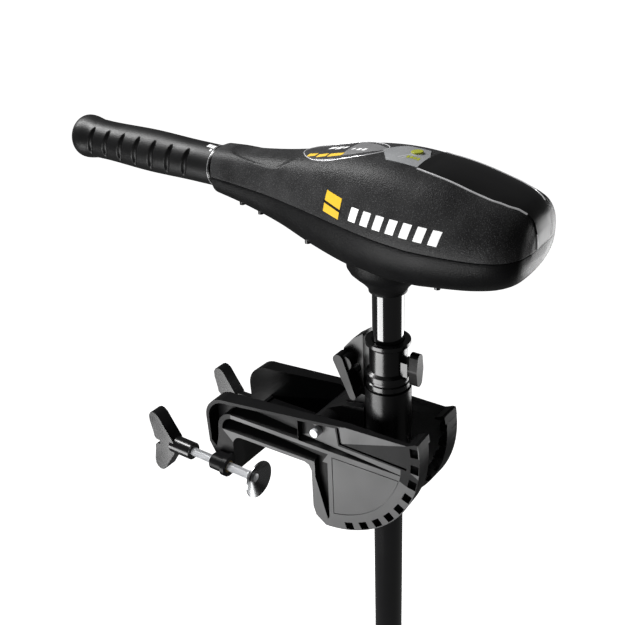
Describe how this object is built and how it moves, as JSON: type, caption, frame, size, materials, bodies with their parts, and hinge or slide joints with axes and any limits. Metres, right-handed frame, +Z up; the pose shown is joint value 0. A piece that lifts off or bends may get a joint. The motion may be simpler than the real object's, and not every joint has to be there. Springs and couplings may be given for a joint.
{
  "type": "transom mount electric trolling motor",
  "caption": "Electric outboard for small boats: screw clamps and tilt bracket, depth collar, control head with telescoping twist grip, and a submerged motor with propeller on a long shaft.",
  "frame": {"origin": "middle of the top inner corner of the transom: on the bearing face, at the height of the transom top, in the middle plane", "axes": "+X from the boat to the water side, normal to the transom; +Y across the boat; +Z up along the shaft"},
  "size_m": [0.6024, 0.1474, 1.0137],
  "materials": {
    "textured_black": "fine spark-eroded texture",
    "gloss_black": "smooth satin gloss",
    "bracket_black": "satin moulded composite",
    "grip_rubber": "matte",
    "shaft_black": "gloss",
    "pod_paint": "satin powder coat",
    "steel": "stainless, turned",
    "bright_chrome": "bright plated",
    "silver_trim": "silver print",
    "meter_grey": "clear over grey print",
    "label_grey": "printed film",
    "button_green": "translucent",
    "bearing_plastic": "natural acetal",
    "board_green": "solder resist",
    "board_brown": "phenolic laminate",
    "cast_alloy": "as cast",
    "lead_red": "wire insulation",
    "brass": "machined",
    "copper": "enamelled",
    "ferrite": "sintered",
    "lamination": "stacked sheet",
    "carbon": "pressed graphite",
    "seal_rubber": "moulded",
    "prop_black": "satin composite"
  },
  "bodies": {
    "bracket": {"bracket": "bracket_black", "screw_inserts": "brass", "pivot_pin": "steel", "pivot_nut": "steel"},
    "tilt_hub": {"tilt_hub": "bracket_black", "hub_bushings": "bearing_plastic", "lever_pin": "steel", "lever_spring": "steel"},
    "tilt_lever": {"tilt_lever": "gloss_black"},
    "lock_rod": {"lock_rod": "steel"},
    "depth_collar": {"depth_collar": "gloss_black"},
    "collar_knob": {"collar_screw": "steel", "collar_knob": "gloss_black"},
    "motor_unit": {"shaft": "shaft_black", "lower_housing": "textured_black", "upper_cover": "textured_black", "top_panel": "gloss_black", "meter_lens": "meter_grey", "label_plate": "label_grey", "control_board": "board_green", "heat_sink": "cast_alloy", "speed_switch": "bracket_black", "nose_bush": "gloss_black", "head_bolt": "steel", "head_screws": "steel", "cable_gland": "seal_rubber", "motor_leads": "lead_red", "front_housing": "pod_paint", "motor_tube": "pod_paint", "rear_housing": "pod_paint", "magnets": "ferrite", "brush_plate": "board_brown", "brushes": "carbon", "brush_springs": "steel", "front_bearing": "brass", "rear_bearing": "steel", "shaft_seal": "seal_rubber", "through_bolts": "steel", "joint_rings": "seal_rubber"},
    "meter_button": {"meter_button": "button_green"},
    "tiller": {"tiller_tube": "bracket_black", "switch_rotor": "bearing_plastic"},
    "grip": {"grip_core": "bracket_black", "grip_sleeve": "grip_rubber", "grip_ring": "silver_trim"},
    "rotor": {"armature_shaft": "steel", "armature_core": "lamination", "windings": "copper", "commutator": "copper", "propeller": "prop_black", "drive_pin": "steel", "prop_washer": "steel", "prop_nut": "steel"},
    "pad_near": {"clamp_pad_near": "bright_chrome"},
    "screw_near": {"clamp_screw_near": "steel", "clamp_knob_near": "gloss_black"},
    "pad_far": {"clamp_pad_far": "bright_chrome"},
    "screw_far": {"clamp_screw_far": "steel", "clamp_knob_far": "gloss_black"}
  },
  "joints": [
    {"name": "tilt", "type": "hinge", "parent": "bracket", "child": "tilt_hub", "pos_m": [0.0065, 0, 0.0395], "axis": [0, -1, 0], "range_deg": [0, 77.6]},
    {"name": "lever", "type": "hinge", "parent": "tilt_hub", "child": "tilt_lever", "pos_m": [0.027, 0, 0.111], "axis": [0, 1, 0], "range_deg": [0, 18], "stiffness_Nm_per_rad": 0.6, "springref_deg": -28.65},
    {"name": "lock_lift", "type": "slide", "parent": "tilt_hub", "child": "lock_rod", "axis": [0, 0, 1], "range_m": [0, 0.006]},
    {"name": "steer", "type": "hinge", "parent": "tilt_hub", "child": "depth_collar", "pos_m": [0.063, 0, 0], "axis": [0, 0, 1], "range_deg": [-110, 110]},
    {"name": "collar_turn", "type": "hinge", "parent": "depth_collar", "child": "collar_knob", "pos_m": [0.063, 0, 0.115], "axis": [1, 0, 0], "continuous": true},
    {"name": "depth", "type": "slide", "parent": "depth_collar", "child": "motor_unit", "axis": [0, 0, 1], "range_m": [-0.045, 0.35]},
    {"name": "meter_press", "type": "slide", "parent": "motor_unit", "child": "meter_button", "axis": [0, 0, -1], "range_m": [0, 0.001], "stiffness_N_per_m": 500, "springref_m": -0.002},
    {"name": "speed_twist", "type": "hinge", "parent": "motor_unit", "child": "tiller", "pos_m": [-0.112, 0, 0.2728], "axis": [-0.9993, 0, 0.0384], "range_deg": [-105, 150]},
    {"name": "telescope", "type": "slide", "parent": "tiller", "child": "grip", "axis": [-0.9993, 0, 0.0384], "range_m": [0, 0.15]},
    {"name": "prop_spin", "type": "hinge", "parent": "motor_unit", "child": "rotor", "pos_m": [0.063, 0, -0.56], "axis": [1, 0, 0], "continuous": true},
    {"name": "press_near", "type": "slide", "parent": "bracket", "child": "pad_near", "axis": [1, 0, 0], "range_m": [-0.025, 0.0245]},
    {"name": "turn_near", "type": "hinge", "parent": "pad_near", "child": "screw_near", "pos_m": [-0.15, -0.054, -0.035], "axis": [1, 0, 0], "range_deg": [-5671, 5557]},
    {"name": "press_far", "type": "slide", "parent": "bracket", "child": "pad_far", "axis": [1, 0, 0], "range_m": [-0.025, 0.0245]},
    {"name": "turn_far", "type": "hinge", "parent": "pad_far", "child": "screw_far", "pos_m": [-0.15, 0.054, -0.035], "axis": [1, 0, 0], "range_deg": [-5671, 5557]}
  ],
  "couplings": [
    {"joint": "lever", "follows": "lock_lift", "rad_per_m": 52.35},
    {"joint": "turn_near", "follows": "press_near", "rad_per_m": 3957.9},
    {"joint": "turn_far", "follows": "press_far", "rad_per_m": 3957.9}
  ]
}
